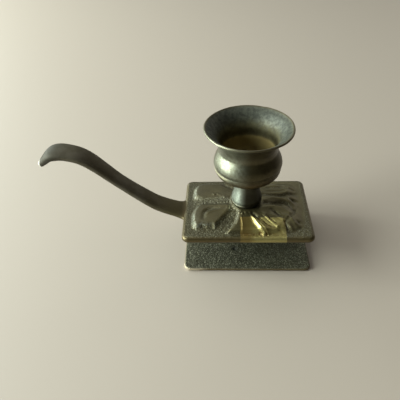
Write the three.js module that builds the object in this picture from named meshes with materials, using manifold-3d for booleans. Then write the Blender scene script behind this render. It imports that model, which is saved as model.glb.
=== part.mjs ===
// A miniature brass chamberstick with a matchbox holder: a turned candle cup on a short bell-shaped
// collar, a cast tray with leaf relief and a curled handle in one casting, and a flat bottom plate
// held under the tray by a rear spine, so that a matchbox slides in between from the front.
// Millimetres. X runs along the plates with the handle towards -X, -Y is the open front, +Z is up.
// The origin is the middle of the bottom plate's underside.
import * as THREE from 'three';
import { mergeVertices } from 'three/addons/utils/BufferGeometryUtils.js';
import Module from 'manifold-3d';

const wasm = await Module();
wasm.setup();

// ---------- driving dimensions ----------
const plateLength = 56;
const plateDepth = 40.5;
const matchboxGap = 15.5;

const base = { thick: 1.5, corner: 2.8, edge: 0.7 };
const tray = { thick: 3.1, corner: 3, edge: 1.5, border: 2.9 };
const spine = { length: 50, thick: 3.2, inset: 0.7, corner: 0.8 };

const trayBottom = base.thick + matchboxGap;
const trayTop = trayBottom + tray.thick;
const spineY = plateDepth / 2 - spine.inset - spine.thick / 2;

// The relief swells up from the border as a pillow and climbs to a round hub under the collar.
const relief = { rise: 1.7, slope: 2.8, corner: 5, hub: 4, hubRadius: 6.3, spread: 6, stretch: 1.35 };
const reliefGrid = { step: 1, sunk: 1, margin: 1, skin: 0.05 };
const seatRadius = 6;
const seatZ = trayTop + relief.hub;

const collar = { footRadius: 5, bellRadius: 6.55, topRadius: 5.2, height: 11.2 };
const cupBottom = seatZ + collar.height;
const cup = { bowlRadius: 14.1, throatRadius: 11.95, lipRadius: 17.8, lipThick: 1.1, height: 26.3 };
const bore = { radius: 11, floor: cupBottom + 4.4, flareFrom: cupBottom + 17.4 };

const centreScrew = { radius: 1.6, headRadius: 3.2, headHeight: 1.6, reach: 2.6 };
const clampScrew = { radius: 1.2, headRadius: 2.2, headHeight: 1, spacing: 36, reach: 1.9 };
const clearance = 0.3;
const closeClearance = 0.09;
const headRecess = 0.2;
const screwSlot = { depth: 0.5, width: 0.25 };
const overcut = 1;

// How many flats stand in for a full turn.
const facets = { seat: 48, cup: 52, collar: 40, hole: 32, screw: 24 };

// ---------- small helpers ----------
const brass = (color, roughness) => new THREE.MeshStandardMaterial({ color, roughness, metalness: 1 });

function named(name, geometry, material) {
  const mesh = new THREE.Mesh(geometry, material);
  mesh.name = name;
  return mesh;
}

function toSolid(geometry) {
  const bare = geometry.clone();
  bare.deleteAttribute('normal');
  bare.deleteAttribute('uv');
  const merged = mergeVertices(bare, 1e-4);
  return new wasm.Manifold(new wasm.Mesh({
    numProp: 3,
    vertProperties: new Float32Array(merged.attributes.position.array),
    triVerts: new Uint32Array(merged.index.array),
  }));
}

function toGeometry(solid) {
  const mesh = solid.getMesh();
  const geometry = new THREE.BufferGeometry();
  geometry.setAttribute('position', new THREE.BufferAttribute(new Float32Array(mesh.vertProperties), 3));
  geometry.setIndex(new THREE.BufferAttribute(new Uint32Array(mesh.triVerts), 1));
  return geometry;
}

// A profile of [radius, z] points turned about +Z.
function turned(profile, sides) {
  const points = profile.map(([radius, z]) => new THREE.Vector2(radius, z));
  return new THREE.LatheGeometry(points, sides).rotateX(Math.PI / 2);
}

// Points on a smooth curve through the given [radius, z] points.
function smooth(points, count) {
  const curve = new THREE.SplineCurve(points.map(([radius, z]) => new THREE.Vector2(radius, z)));
  return curve.getPoints(count).map((point) => [point.x, point.y]);
}

function roundedRectangle(length, depth, radius) {
  const x = length / 2;
  const y = depth / 2;
  const shape = new THREE.Shape();
  shape.moveTo(x, -y + radius);
  shape.absarc(x - radius, y - radius, radius, 0, Math.PI / 2);
  shape.absarc(-x + radius, y - radius, radius, Math.PI / 2, Math.PI);
  shape.absarc(-x + radius, -y + radius, radius, Math.PI, 1.5 * Math.PI);
  shape.absarc(x - radius, -y + radius, radius, 1.5 * Math.PI, 2 * Math.PI);
  return shape;
}

// A plate with a rounded edge all round, its underside at z = bottom.
function roundEdgedPlate(size, bottom) {
  const { thick, corner, edge } = size;
  const inner = roundedRectangle(plateLength - 2 * edge, plateDepth - 2 * edge, corner - edge);
  const geometry = new THREE.ExtrudeGeometry(inner, {
    depth: thick - 2 * edge,
    bevelThickness: edge,
    bevelSize: edge,
    bevelSegments: 4,
    curveSegments: 6,
  });
  return geometry.translate(0, 0, bottom + edge);
}

// The hole that a countersunk screw needs, with its head's face at z = bottom.
function countersunkHole(screw, bottom, top) {
  const headTop = bottom + screw.headHeight + headRecess;
  const radius = screw.radius + clearance;
  return toSolid(turned([
    [0, bottom - overcut],
    [screw.headRadius + clearance, bottom - overcut],
    [screw.headRadius + clearance, bottom + headRecess],
    [radius, headTop],
    [radius, top],
    [0, top],
  ], facets.hole));
}

// A screw for that hole. Its slot's depth and width are shares of the head's height and radius.
function countersunkScrew(screw, bottom, top) {
  const head = bottom + headRecess;
  const body = toSolid(turned([
    [0, head],
    [screw.headRadius, head],
    [screw.radius, head + screw.headHeight],
    [screw.radius, top],
    [0, top],
  ], facets.screw));
  const length = 2 * (screw.headRadius + overcut);
  const width = screw.headRadius * screwSlot.width;
  const slot = new THREE.BoxGeometry(length, width, 2 * screw.headHeight * screwSlot.depth);
  return body.subtract(toSolid(slot.translate(0, 0, head)));
}

// ---------- leaf relief on the tray ----------
// Each stroke is a ridge (height above zero) or a groove (below) along a bent line of [x, y] points.
const strokes = [
  { line: [[-24, 2.6], [-14, 2.3], [-8, 2.2]], width: 1.7, height: -1 },
  { line: [[-18.8, -8.6], [-18, -5.2], [-14, -3.8], [-9.5, -4.4]], width: 1.1, height: -0.8 },
  { line: [[-6.6, -7.6], [-9, -10.6], [-12.8, -14.9]], width: 1.4, height: -1.2 },
  { line: [[-4.7, -7.4], [-5.7, -12.6], [-9, -16.4]], width: 1, height: 0.5 },
  { line: [[-2.7, -8.8], [-2.3, -12.4], [-2.5, -16.6]], width: 0.9, height: 0.5 },
  { line: [[0, -8.4], [2.1, -13.6], [4.8, -17]], width: 1.2, height: 0.9 },
  { line: [[2.5, -8.2], [3.8, -10], [5.2, -12]], width: 1, height: -0.8 },
  { line: [[3.6, -11.6], [6, -14.1], [11, -15.8]], width: 1, height: 0.4 },
  { line: [[5.4, -10.4], [7.9, -13.6], [13.7, -16.5]], width: 0.9, height: -0.8 },
  { line: [[5.6, -7.5], [9, -11.9], [12, -15]], width: 1.1, height: 0.7 },
  { line: [[8.3, -9.4], [10.4, -11.5], [12.3, -14.2]], width: 0.9, height: -0.7 },
  { line: [[10.9, -5.6], [12.8, -6.9], [14.6, -9]], width: 1, height: -0.7 },
  { line: [[15.8, -10.6], [16.2, -13.6], [17.2, -16.2]], width: 1, height: -0.9 },
  { line: [[20.3, -15.8], [22.2, -15], [23.4, -13.9]], width: 1, height: -0.7 },
  { line: [[7.7, -3.6], [13, -3.6], [18, -6.4]], width: 1, height: 0.45 },
  { line: [[7.7, -1.2], [15, -0.7], [20.2, -4]], width: 1.3, height: -1.1 },
  { line: [[7.7, 2], [14, 2.5], [21, 0.3]], width: 1, height: 0.4 },
  { line: [[7.4, 4.6], [16.8, 5.6], [23.6, 8.4]], width: 1.2, height: -1 },
  { line: [[7.4, 10.4], [15, 11.9], [22.5, 11]], width: 1.1, height: -0.6 },
  { line: [[5.6, 12.4], [10, 14], [16, 15.2]], width: 1.1, height: -0.7 },
  { line: [[0, 9], [0, 12.6], [0.6, 16.4]], width: 1.1, height: -0.7 },
  { line: [[-4.4, 9], [-8.4, 12.6], [-11, 16.2]], width: 1.1, height: -0.7 },
];

const smoothstep = (t) => THREE.MathUtils.smoothstep(t, 0, 1);

// Distance in from the relief's rounded outline, negative outside it.
function distanceIn(x, y) {
  const cornerX = Math.abs(x) - (plateLength / 2 - tray.border - relief.corner);
  const cornerY = Math.abs(y) - (plateDepth / 2 - tray.border - relief.corner);
  const outside = Math.hypot(Math.max(cornerX, 0), Math.max(cornerY, 0));
  return relief.corner - outside - Math.min(Math.max(cornerX, cornerY), 0);
}

// Height of one stroke at [x, y], fading out towards both of its ends.
function strokeHeight({ curve, width, height }, x, y) {
  let best = 0;
  curve.forEach((point, index) => {
    const along = index / (curve.length - 1);
    const fade = Math.sin(Math.PI * THREE.MathUtils.clamp(along, 0.08, 0.92)) ** 0.5;
    const away = Math.hypot(x - point.x, y - point.y) / width;
    best = Math.max(best, fade * Math.exp(-(away ** 2)));
  });
  return height * best;
}

const strokeCurves = strokes.map(({ line, width, height }) => {
  const spline = new THREE.SplineCurve(line.map(([x, y]) => new THREE.Vector2(x, y)));
  return { curve: spline.getPoints(24), width, height };
});

function reliefHeight(x, y) {
  const pillow = smoothstep(distanceIn(x, y) / relief.slope);
  const radius = Math.hypot(x / relief.stretch, y);
  const climb = 1 / (1 + (Math.max(radius - relief.hubRadius, 0) / relief.spread) ** 2);
  const swell = relief.rise + (relief.hub - relief.rise) * climb;
  const cut = smoothstep((Math.hypot(x, y) - relief.hubRadius) / 2);
  const carved = strokeCurves.reduce((sum, stroke) => sum + strokeHeight(stroke, x, y), 0);
  return Math.min(pillow * (swell + cut * carved), relief.hub);
}

// A block whose top follows the relief. It sinks into the tray, and where there is no relief its top
// lies just under the tray's own.
function reliefBlock() {
  const { step, sunk, margin, skin } = reliefGrid;
  const length = plateLength - 2 * tray.border + 2 * margin;
  const depth = plateDepth - 2 * tray.border + 2 * margin;
  const cells = [Math.round(length / step), Math.round(depth / step)];
  const block = new THREE.BoxGeometry(length, depth, sunk, ...cells, 1);
  const place = block.attributes.position;
  for (let i = 0; i < place.count; i += 1) {
    const height = place.getZ(i) > 0 ? reliefHeight(place.getX(i), place.getY(i)) - skin : -sunk;
    place.setZ(i, trayTop + height);
  }
  return toSolid(block);
}

// ---------- handle ----------
// Stations along the handle: [x, z, width, thickness]. It leaves the tray's left end, rises in an
// S-curve and curls over into a narrow tip.
const handleStations = [
  [-25.5, 18.5, 16, 2.6],
  [-28.2, 18.6, 11.5, 3],
  [-31.5, 19.6, 10, 3.9],
  [-37.5, 22, 9.2, 4.4],
  [-43.2, 25.5, 8.8, 4.4],
  [-54.9, 35.4, 8.1, 4.1],
  [-66.8, 47, 9.6, 4.6],
  [-74.6, 50.5, 10.2, 4.7],
  [-80.9, 50.5, 10.4, 4.8],
  [-85.1, 47.4, 7, 3.6],
  [-88.2, 44.4, 2.8, 2.5],
];
const handleSteps = 44;
const handleSides = 18;
const sectionPower = 0.85;

// A unit cylinder is bent along the stations: its axis becomes the middle of the handle and its round
// section becomes a flattened oval.
function handleSolid() {
  const path = new THREE.CatmullRomCurve3(handleStations.map(([x, z]) => new THREE.Vector3(x, 0, z)));
  const sizes = new THREE.CatmullRomCurve3(handleStations.map(([, , w, t]) => new THREE.Vector3(w, t, 0)));
  const strap = new THREE.CylinderGeometry(1, 1, 1, handleSides, handleSteps);
  const place = strap.attributes.position;
  const oval = (value) => Math.sign(value) * Math.abs(value) ** sectionPower;
  for (let i = 0; i < place.count; i += 1) {
    const along = place.getY(i) + 0.5;
    const middle = path.getPoint(along);
    const tangent = path.getTangent(along);
    const size = sizes.getPoint(along);
    const across = oval(place.getX(i)) * size.x / 2;
    const out = oval(place.getZ(i)) * size.y / 2;
    place.setXYZ(i, middle.x + tangent.z * out, across, middle.z - tangent.x * out);
  }
  return toSolid(strap);
}

// ---------- pieces ----------
function topTray() {
  const middle = trayBottom + tray.thick / 2;
  const seat = turned([[0, middle], [seatRadius, middle], [seatRadius, seatZ], [0, seatZ]], facets.seat);
  let solid = toSolid(roundEdgedPlate(tray, trayBottom));
  solid = solid.add(reliefBlock()).add(toSolid(seat)).add(handleSolid());
  solid = solid.subtract(countersunkHole(centreScrew, trayBottom, seatZ + overcut));
  for (const side of [-1, 1]) {
    const hole = toSolid(clampScrewBlindHole());
    solid = solid.subtract(hole.translate([side * clampScrew.spacing / 2, spineY, 0]));
  }
  return toGeometry(solid);
}

// The hole in the tray's underside that takes a clamp screw's end.
function clampScrewBlindHole() {
  const radius = clampScrew.radius + clearance;
  const low = trayBottom - overcut;
  const top = trayBottom + clampScrew.reach + clearance;
  return turned([[0, low], [radius, low], [radius, top], [0, top]], facets.screw);
}

function bottomPlate() {
  let solid = toSolid(roundEdgedPlate(base, 0));
  for (const side of [-1, 1]) {
    const hole = countersunkHole(clampScrew, 0, base.thick + overcut);
    solid = solid.subtract(hole.translate([side * clampScrew.spacing / 2, spineY, 0]));
  }
  return toGeometry(solid);
}

function rearSpine() {
  const outline = roundedRectangle(spine.length, spine.thick, spine.corner);
  const radius = clampScrew.radius + closeClearance;
  for (const side of [-1, 1]) {
    const hole = new THREE.Path();
    hole.absarc(side * clampScrew.spacing / 2, 0, radius, 0, 2 * Math.PI);
    outline.holes.push(hole);
  }
  const wall = new THREE.ExtrudeGeometry(outline, {
    depth: matchboxGap,
    bevelEnabled: false,
    curveSegments: 10,
  });
  return wall.translate(0, spineY, base.thick);
}

function clampScrewPiece(side) {
  const screw = countersunkScrew(clampScrew, 0, trayBottom + clampScrew.reach);
  return toGeometry(screw.translate([side * clampScrew.spacing / 2, spineY, 0]));
}

function centreScrewPiece() {
  return toGeometry(countersunkScrew(centreScrew, trayBottom, cupBottom + centreScrew.reach));
}

function stemCollar() {
  const { footRadius, bellRadius, topRadius, height } = collar;
  const bell = smooth([
    [footRadius, 0],
    [footRadius + 0.9, 0.35],
    [bellRadius, 1.5],
    [bellRadius, 2.7],
    [bellRadius - 0.55, 5],
    [topRadius, 8.4],
    [topRadius - 0.15, height],
  ], 18);
  const inner = centreScrew.radius + clearance;
  const profile = [[inner, 0], ...bell, [inner, height], [inner, 0]];
  return turned(profile, facets.collar).translate(0, 0, seatZ);
}

function candleCup() {
  const { bowlRadius, throatRadius, lipRadius, lipThick, height } = cup;
  const outside = smooth([
    [5.5, 0],
    [7.5, 1],
    [9.9, 3],
    [12.1, 5],
    [bowlRadius - 0.8, 6.1],
    [bowlRadius - 0.2, 7.4],
    [bowlRadius, 9],
    [bowlRadius - 0.6, 11.2],
    [throatRadius + 0.5, 13.4],
    [throatRadius, 15.8],
    [throatRadius + 0.15, 17.8],
    [throatRadius + 1.5, 21],
    [lipRadius - 2.6, 23.6],
    [lipRadius, height - lipThick * 0.6],
  ], 34);
  const inside = smooth([
    [lipRadius - 0.5, height],
    [lipRadius - 3, height - 1.9],
    [bore.radius + 1.5, height - 4.7],
    [bore.radius, bore.flareFrom - cupBottom],
  ], 10);
  const screwHole = centreScrew.radius + closeClearance;
  const screwTop = centreScrew.reach + clearance;
  const floor = bore.floor - cupBottom;
  const profile = [
    [0, screwTop],
    [screwHole, screwTop],
    [screwHole, 0],
    ...outside,
    ...inside,
    [bore.radius, floor],
    [0, floor],
  ];
  return turned(profile, facets.cup).translate(0, 0, cupBottom);
}

// ---------- assembly ----------
const castBrass = brass(0x504a32, 0.5);
const plateBrass = brass(0x474a3c, 0.6);
const turnedBrass = brass(0x6a6546, 0.35);
const collarBrass = brass(0x5c6052, 0.32);
const screwBrass = brass(0x8a7a48, 0.4);

const chamberstick = new THREE.Group();
chamberstick.add(
  named('bottom_plate', bottomPlate(), plateBrass),
  named('rear_spine', rearSpine(), plateBrass),
  named('top_tray', topTray(), castBrass),
  named('stem_collar', stemCollar(), collarBrass),
  named('candle_cup', candleCup(), turnedBrass),
  named('centre_screw', centreScrewPiece(), screwBrass),
  named('clamp_screw_left', clampScrewPiece(-1), screwBrass),
  named('clamp_screw_right', clampScrewPiece(1), screwBrass),
);

export default chamberstick;
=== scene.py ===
# Looks of a miniature brass chamberstick with a matchbox holder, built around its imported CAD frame.
# Every piece is rebuilt as a fine mesh in the place that its CAD node gives: the turned cup and collar,
# the sand-cast tray with leaf relief and handle, the bottom plate, the rear spine and three screws.
# Lengths in the shape functions are millimetres, and become metres when a mesh is made. A mask is a
# number from 0 to 1 at each point of a mesh, which its material reads by name.
import math

import bmesh
import bpy
import numpy as np
from mathutils import Matrix, Vector, noise


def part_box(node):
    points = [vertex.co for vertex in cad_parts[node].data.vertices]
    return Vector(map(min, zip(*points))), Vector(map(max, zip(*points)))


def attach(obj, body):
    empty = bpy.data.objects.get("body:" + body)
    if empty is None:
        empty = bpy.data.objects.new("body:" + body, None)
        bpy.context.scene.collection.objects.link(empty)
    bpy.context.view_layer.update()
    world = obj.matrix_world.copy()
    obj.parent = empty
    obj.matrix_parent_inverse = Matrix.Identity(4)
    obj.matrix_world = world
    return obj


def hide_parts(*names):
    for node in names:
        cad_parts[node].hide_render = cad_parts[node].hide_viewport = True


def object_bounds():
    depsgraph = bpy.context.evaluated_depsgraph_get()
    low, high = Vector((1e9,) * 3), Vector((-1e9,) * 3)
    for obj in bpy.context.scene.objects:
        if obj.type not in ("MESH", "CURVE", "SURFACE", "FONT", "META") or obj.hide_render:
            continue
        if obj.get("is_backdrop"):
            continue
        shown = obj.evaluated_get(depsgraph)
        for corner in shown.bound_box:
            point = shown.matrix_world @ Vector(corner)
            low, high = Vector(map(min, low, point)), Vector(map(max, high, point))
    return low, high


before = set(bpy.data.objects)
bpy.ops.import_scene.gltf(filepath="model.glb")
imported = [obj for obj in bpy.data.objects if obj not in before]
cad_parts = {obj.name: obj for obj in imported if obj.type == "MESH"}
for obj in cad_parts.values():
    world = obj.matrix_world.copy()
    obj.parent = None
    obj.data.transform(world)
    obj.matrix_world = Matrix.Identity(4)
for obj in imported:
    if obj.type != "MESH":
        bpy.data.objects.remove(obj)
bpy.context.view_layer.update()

MM = 0.001


# ---------------------------------------------------------------- sizes from the frame
def size_mm(node):
    """Lowest and highest corner of a CAD node, in millimetres."""
    low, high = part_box(node)
    return np.array(low) / MM, np.array(high) / MM


BASE_LOW, BASE_HIGH = size_mm("bottom_plate")
SPINE_LOW, SPINE_HIGH = size_mm("rear_spine")
COLLAR_LOW, COLLAR_HIGH = size_mm("stem_collar")
CUP_LOW, CUP_HIGH = size_mm("candle_cup")

PLATE_LENGTH = BASE_HIGH[0] - BASE_LOW[0]
PLATE_DEPTH = BASE_HIGH[1] - BASE_LOW[1]
TRAY_BOTTOM = SPINE_HIGH[2]
TRAY_THICK = 3.1
TRAY_TOP = TRAY_BOTTOM + TRAY_THICK
TRAY_CORNER = 3.0
TRAY_EDGE = 1.5
TRAY_BORDER = 2.9
TRAY_BORDER_CORNER = 5.0
BASE_CORNER = 2.8
BASE_EDGE = 0.7
RIM_CORNER = 2.9
HUB_HEIGHT = COLLAR_LOW[2] - TRAY_TOP
HUB_RADIUS = 6.3

CUP_BOTTOM = CUP_LOW[2]
CUP_HEIGHT = CUP_HIGH[2] - CUP_LOW[2]
LIP_RADIUS = (CUP_HIGH[0] - CUP_LOW[0]) / 2
BOWL_RADIUS = 14.1
BOWL_LINE_HEIGHT = 8.8
THROAT_RADIUS = 11.95
BORE_RADIUS = 11.0
BORE_FLOOR = 4.4
BORE_FILLET = 8.0

# Screws and their holes: head radius, head height, shank radius. The centre hole ends out of sight.
CENTRE_SCREW = (3.2, 1.6, 1.6)
CENTRE_HOLE = (3.5, 1.6, 1.9)
CENTRE_HOLE_DEPTH = 2.2
CLAMP_SCREW = (2.2, 1.0, 1.2)
CLAMP_HOLE = (2.5, 1.0, 1.4)
CLAMP_X = (-18.0, 18.0)
CLAMP_Y = (SPINE_LOW[1] + SPINE_HIGH[1]) / 2

# A small casting pit in the top of the bottom plate.
PIT_X, PIT_Y = -5.2, -7.9

# Grid sizes of the remeshed castings, and sides of the turned pieces.
VOXEL = 0.3
TRAY_VOXEL = 0.22
CUP_SIDES = 144
COLLAR_SIDES = 96
SCREW_SIDES = 64
HOLE_SIDES = 48


# ---------------------------------------------------------------- mesh helpers
def add_mesh(name, points, faces):
    """A mesh object from points in millimetres."""
    mesh = bpy.data.meshes.new(name)
    mesh.from_pydata((np.asarray(points, float) * MM).tolist(), [], faces)
    mesh.validate()
    piece = bpy.data.objects.new(name, mesh)
    bpy.context.scene.collection.objects.link(piece)
    return piece


def get_points(piece):
    """The piece's points in millimetres, one row each."""
    points = np.empty(len(piece.data.vertices) * 3)
    piece.data.vertices.foreach_get("co", points)
    return points.reshape(-1, 3) / MM


def set_points(piece, points):
    """Moves the piece's points to these places in millimetres."""
    piece.data.vertices.foreach_set("co", (points * MM).ravel())
    piece.data.update()


def get_normals(piece):
    """The piece's normals at its points, one row each."""
    normals = np.empty(len(piece.data.vertices) * 3)
    piece.data.vertices.foreach_get("normal", normals)
    return normals.reshape(-1, 3)


def set_mask(piece, name, values):
    """Stores one number per vertex, which a material reads by name."""
    layer = piece.data.attributes.new(name, "FLOAT", "POINT")
    layer.data.foreach_set("value", np.asarray(values, np.float32))


def smoothstep(value):
    """A soft step from 0 to 1 as the value goes from 0 to 1."""
    value = np.clip(value, 0.0, 1.0)
    return value * value * (3 - 2 * value)


def spline(points, count):
    """A smooth line of count points through the given ones (uniform Catmull-Rom)."""
    points = np.asarray(points, float)
    padded = np.vstack([2 * points[0] - points[1], points, 2 * points[-1] - points[-2]])
    along = np.linspace(0, len(points) - 1, count)
    start = np.minimum(along.astype(int), len(points) - 2)
    t = (along - start)[:, None]
    a, b, c, d = (padded[start + k] for k in range(4))
    return 0.5 * (2 * b + (c - a) * t + (2 * a - 5 * b + 4 * c - d) * t**2 + (3 * b - a - 3 * c + d) * t**3)


def rings_to_mesh(name, rings, closed_ends=True):
    """Skins a list of rings, each with the same number of points, and caps both ends."""
    sides = len(rings[0])
    faces = []
    for i in range(len(rings) - 1):
        for j in range(sides):
            k = (j + 1) % sides
            faces.append((i * sides + j, i * sides + k, (i + 1) * sides + k, (i + 1) * sides + j))
    if closed_ends:
        last = (len(rings) - 1) * sides
        faces.append(tuple(reversed(range(sides))))
        faces.append(tuple(range(last, last + sides)))
    return add_mesh(name, np.vstack(rings), faces)


def turned(name, profile, sides):
    """Turns a profile of (radius, z) points about +Z. It starts and ends on the axis or closes on itself."""
    profile = np.asarray(profile, float)
    angle = np.linspace(0, 2 * np.pi, sides, endpoint=False)
    rings = [np.c_[r * np.cos(angle), r * np.sin(angle), np.full(sides, z)] for r, z in profile]
    piece = rings_to_mesh(name, rings, closed_ends=False)
    mesh = bmesh.new()
    mesh.from_mesh(piece.data)
    bmesh.ops.remove_doubles(mesh, verts=mesh.verts, dist=1e-4 * MM)
    bmesh.ops.recalc_face_normals(mesh, faces=mesh.faces)
    mesh.to_mesh(piece.data)
    mesh.free()
    return piece


def shade(piece, sharp_degrees=35):
    """Smooth shading, apart from edges sharper than that angle."""
    piece.data.shade_smooth()
    piece.data.set_sharp_from_angle(angle=math.radians(sharp_degrees))


def apply_modifiers(piece):
    """Replaces the piece's mesh by the one that its modifiers make."""
    graph = bpy.context.evaluated_depsgraph_get()
    final = bpy.data.meshes.new_from_object(piece.evaluated_get(graph))
    piece.modifiers.clear()
    piece.data = final


def cut(piece, *cutters):
    """Takes the cutters' shapes away from the piece, and removes the cutters."""
    for cutter in cutters:
        step = piece.modifiers.new("cut", "BOOLEAN")
        step.operation = "DIFFERENCE"
        step.solver = "EXACT"
        step.object = cutter
    apply_modifiers(piece)
    for cutter in cutters:
        bpy.data.objects.remove(cutter)


def join(piece, *others):
    """Adds the other objects' meshes to the piece."""
    mesh = bmesh.new()
    mesh.from_mesh(piece.data)
    for other in others:
        mesh.from_mesh(other.data)
        bpy.data.objects.remove(other)
    mesh.to_mesh(piece.data)
    mesh.free()


def cast(piece, voxel, smoothing):
    """Melts a rough assembly of closed shapes into one casting with soft inner corners."""
    melt = piece.modifiers.new("melt", "REMESH")
    melt.mode = "VOXEL"
    melt.voxel_size = voxel * MM
    soften = piece.modifiers.new("soften", "SMOOTH")
    soften.factor = 0.5
    soften.iterations = smoothing
    apply_modifiers(piece)


def grain(points, size, seed):
    """Soft random bumps between about -1 and 1, of that size in millimetres."""
    shift = Vector((seed * 17.3, seed * 5.9, seed * 11.1))
    return np.array([noise.noise(Vector(point) / size + shift) for point in points])


# ---------------------------------------------------------------- turned pieces
def facing_left(points, turn, start, width):
    """1 on the side of a turned piece that faces -X, moved round by turn radians, and 0 behind it."""
    angle = np.arctan2(points[:, 1], points[:, 0])
    return smoothstep((-np.cos(angle - turn) - start) / width)


def cup_outside():
    """The cup's outer profile from its foot up to the lip: (radius, height) points."""
    bowl, line, throat, lip, top = BOWL_RADIUS, BOWL_LINE_HEIGHT, THROAT_RADIUS, LIP_RADIUS, CUP_HEIGHT
    belly = [(5.5, 0), (7.6, 1), (10.1, 3), (12.2, 4.8), (bowl - 0.85, 6), (bowl - 0.4, 7.3)]
    turned_line = [(bowl - 0.3, line - 0.5), (bowl - 0.36, line), (bowl - 0.1, line + 0.8)]
    shoulder = [(bowl, line + 1.7), (bowl - 0.38, 12.2), (throat + 0.95, 14), (throat + 0.1, 15.7)]
    waist = [(throat, 16.6), (throat + 0.2, 18.2), (throat + 1.5, 21), (lip - 2.6, 23.6)]
    rim = [(lip - 0.25, top - 0.95), (lip, top - 0.5), (lip - 0.15, top - 0.1), (lip - 0.5, top)]
    return spline(belly + turned_line + shoulder + waist + rim, 150)


def cup_inside():
    """The cup's inner profile from the lip down the bore to the middle of its floor."""
    lip, bore, top, fillet = LIP_RADIUS, BORE_RADIUS, CUP_HEIGHT, BORE_FILLET
    flare = spline(
        [(lip - 0.5, top), (lip - 1.2, top - 0.5), (lip - 3, top - 1.9), (bore + 1.6, top - 4.7),
         (bore + 0.5, 18), (bore, 14.5)],
        44,
    )[1:]
    wall = np.c_[np.full(10, bore), np.linspace(14, BORE_FLOOR + fillet + 0.4, 10)]
    turn = np.linspace(0, np.pi / 2, 12)
    corner = np.c_[bore - fillet * (1 - np.cos(turn)), BORE_FLOOR + fillet * (1 - np.sin(turn))]
    disc = np.c_[np.linspace(bore - fillet - 0.8, 0, 8), np.full(8, BORE_FLOOR)]
    return np.vstack([flare, wall, corner, disc])


def candle_cup():
    """The turned cup: a squat bowl with a shallow line, a narrow throat, a flared lip and a deep bore."""
    outside = cup_outside()
    profile = np.vstack([[(0, 0)], outside, cup_inside()])
    piece = turned("cup_body", profile + [0, CUP_BOTTOM], CUP_SIDES)
    points = get_points(piece)
    height = points[:, 2] - CUP_BOTTOM
    below_outside = np.interp(height, outside[:, 1], outside[:, 0]) - np.hypot(points[:, 0], points[:, 1])
    inner = smoothstep((below_outside - 0.3) / 0.8) * (height > BORE_FLOOR - 0.1)
    mark_cup_inside(piece, height, inner)
    points = dent_lip(points)
    set_points(piece, points)
    mark_cup_outside(piece, points, inner)
    shade(piece)
    return piece


def mark_cup_inside(piece, height, inner):
    """Masks for the cup's inside, for the bore below the lip, and for painted light on the middle of the
    bore's wall.
    """
    bore_top, bore_soft = 24, 8
    bend_height, bend_width = 13, 4
    deep = inner * smoothstep((bore_top - height) / bore_soft)
    # Painted light: a paler band on the bore's wall above its floor, where the wall lies in shade.
    painted_bore_light = deep * np.exp(-(((height - bend_height) / bend_width) ** 2))
    set_mask(piece, "inner", inner)
    set_mask(piece, "deep", deep)
    set_mask(piece, "painted_bore_light", painted_bore_light)


def mark_cup_outside(piece, points, inner):
    """Masks for the lip's edge, the painted highlight on the left side, the worn crescent below the line
    with its painted highlight, and the belly.
    """
    lip_depth, lip_soft = 1.0, 0.8
    crescent_drop, crescent_width = 0.8, 0.6
    belly_top, belly_soft = 9, 5
    height = points[:, 2] - CUP_BOTTOM
    outer = 1 - inner
    near_lip = smoothstep((height - (CUP_HEIGHT - lip_depth)) / lip_soft)
    crescent = np.exp(-(((height - BOWL_LINE_HEIGHT + crescent_drop) / crescent_width) ** 2))
    set_mask(piece, "lip", near_lip * (1 - 0.7 * inner))
    # Painted highlight: the side facing the lamp on the left is coloured lighter grey.
    set_mask(piece, "left_highlight", outer * facing_left(points, 0.7, 0.55, 0.4))
    # The worn crescent below the line also carries a painted highlight on the side that faces the lamp.
    set_mask(piece, "wear_and_highlight", outer * crescent * facing_left(points, 0.45, 0.84, 0.13))
    set_mask(piece, "low", outer * smoothstep((belly_top - height) / belly_soft))


def dent_lip(points):
    """A hand-worn lip: a slow wave, and three small nicks in its edge."""
    worn_radius = 17.8
    wave_depth, nick_depth = 4, 1.2
    nick_half_angle = 0.06
    nicks = ((-2.35, 0.16), (-0.75, 0.14), (1.2, 0.1))
    top = CUP_BOTTOM + CUP_HEIGHT
    angle = np.arctan2(points[:, 1], points[:, 0])
    near_top = smoothstep((points[:, 2] - (top - wave_depth)) / wave_depth)
    wave = 0.10 * np.sin(2 * angle + 0.7) + 0.06 * np.sin(5 * angle + 2)
    shrink = 1 - near_top * (wave - 0.08) / worn_radius
    points[:, :2] *= shrink[:, None]
    for nick, drop in nicks:
        away = np.angle(np.exp(1j * (angle - nick))) / nick_half_angle
        at_edge = smoothstep((points[:, 2] - (top - nick_depth)) / nick_depth)
        points[:, 2] -= drop * np.exp(-(away**2)) * at_edge
    return points


def stem_collar():
    """The turned bell between tray and cup, with a fine ring at its foot and the screw's hole through it."""
    bottom, height = COLLAR_LOW[2], COLLAR_HIGH[2] - COLLAR_LOW[2]
    bell = (COLLAR_HIGH[0] - COLLAR_LOW[0]) / 2
    foot, top, hole = 5.0, 5.2, CENTRE_HOLE[2]
    outside = spline(
        [
            (foot, 0), (foot + 0.9, 0.25), (bell - 0.2, 0.95), (bell, 1.5), (bell - 0.05, 1.9),
            (bell - 0.02, 2.9), (bell - 0.5, 5), (top + 0.05, 8.4), (top - 0.15, height),
        ],
        64,
    )
    profile = np.vstack([[(hole, 0)], outside, [(hole, height)], [(hole, 0)]])
    piece = turned("collar_body", profile + [0, bottom], COLLAR_SIDES)
    points = get_points(piece)
    # Painted highlight: the side facing the lamp on the left is coloured lighter.
    left_highlight = facing_left(points, 0.6, 0.6, 0.38)
    foot_height, foot_width = 1.35, 0.32
    set_mask(piece, "left_highlight", left_highlight)
    # Painted highlight: a glint on the ring at the foot, only on the side facing the lamp.
    set_mask(piece, "foot", left_highlight * np.exp(-((points[:, 2] - bottom - foot_height) / foot_width) ** 2))
    shade(piece)
    return piece


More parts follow.
